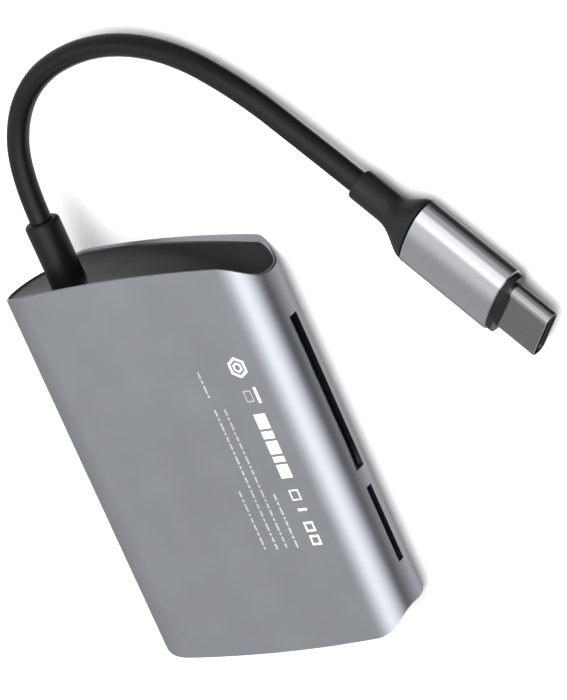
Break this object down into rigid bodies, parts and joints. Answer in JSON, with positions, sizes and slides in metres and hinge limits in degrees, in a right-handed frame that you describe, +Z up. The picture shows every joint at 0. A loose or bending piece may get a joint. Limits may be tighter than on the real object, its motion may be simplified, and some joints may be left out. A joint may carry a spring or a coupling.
{
  "type": "usb hub",
  "caption": "Small metal USB-C hub with a short captive cord and plug, memory-card slots on its thin side and USB-A sockets on its thick side.",
  "frame": {"origin": "centre of the shell's footprint, on the surface that it lies on", "axes": "+X towards the card slots, +Y towards the cord, +Z up out of the label face"},
  "size_m": [0.0983, 0.095, 0.0152],
  "materials": {
    "anodised_shell": "fine bead-blasted grey anodising, satin",
    "anodised_sleeve": "grey anodised, satin, brighter than the shell",
    "cap_plastic": "dark grey moulded plastic, satin",
    "relief_rubber": "black soft moulding, satin",
    "cord_jacket": "black smooth jacket, semi-gloss",
    "boot_plastic": "dark grey-black soft moulding, satin",
    "collar_plastic": "black plastic",
    "plug_steel": "nickel-plated steel",
    "socket_steel": "tin-plated sheet steel",
    "tongue_plastic": "white moulded plastic",
    "gold_contact": "gold-plated contact",
    "inner_plastic": "black moulded plastic",
    "slider_plastic": "pale moulded plastic",
    "spring_steel": "bright spring wire",
    "crimp_metal": "plain crimped ring",
    "wire_insulation": "insulated cores in several colours",
    "solder": "solder and tinned pins",
    "circuit_board": "green solder mask",
    "chip_package": "black moulded package",
    "crystal_can": "drawn metal can",
    "ceramic_capacitor": "tan ceramic"
  },
  "bodies": {
    "hub": {"board_tray": "inner_plastic", "capacitors": "ceramic_capacitor", "card_reader_chip": "chip_package", "chip_pins": "solder", "cord": "cord_jacket", "cord_clamp": "crimp_metal", "cord_end_cap": "cap_plastic", "cord_tail": "cord_jacket", "crystal": "crystal_can", "far_end_cap": "cap_plastic", "hub_chip": "chip_package", "main_board": "circuit_board", "microsd_base": "inner_plastic", "microsd_contacts": "gold_contact", "microsd_cover": "socket_steel", "microsd_spring": "spring_steel", "plug_board": "circuit_board", "plug_boot": "boot_plastic", "plug_collar": "collar_plastic", "plug_contacts": "gold_contact", "plug_core": "inner_plastic", "plug_insert": "collar_plastic", "plug_shell": "plug_steel", "plug_sleeve": "anodised_sleeve", "regulator": "chip_package", "resistors": "chip_package", "sd_base": "inner_plastic", "sd_contacts": "gold_contact", "sd_cover": "socket_steel", "shell": "anodised_shell", "solder_joints": "solder", "strain_relief": "relief_rubber", "usb_base_1": "inner_plastic", "usb_base_2": "inner_plastic", "usb_contacts_1": "gold_contact", "usb_contacts_2": "gold_contact", "usb_shell_1": "socket_steel", "usb_shell_2": "socket_steel", "usb_tongue_1": "tongue_plastic", "usb_tongue_2": "tongue_plastic", "wires": "wire_insulation"},
    "card_lock": {"microsd_slider": "slider_plastic"}
  },
  "joints": [
    {"name": "microsd_push", "type": "slide", "parent": "hub", "child": "card_lock", "axis": [-1, 0, 0], "range_m": [0, 0.0012], "stiffness_N_per_m": 100, "deforming": ["microsd_spring"]}
  ]
}
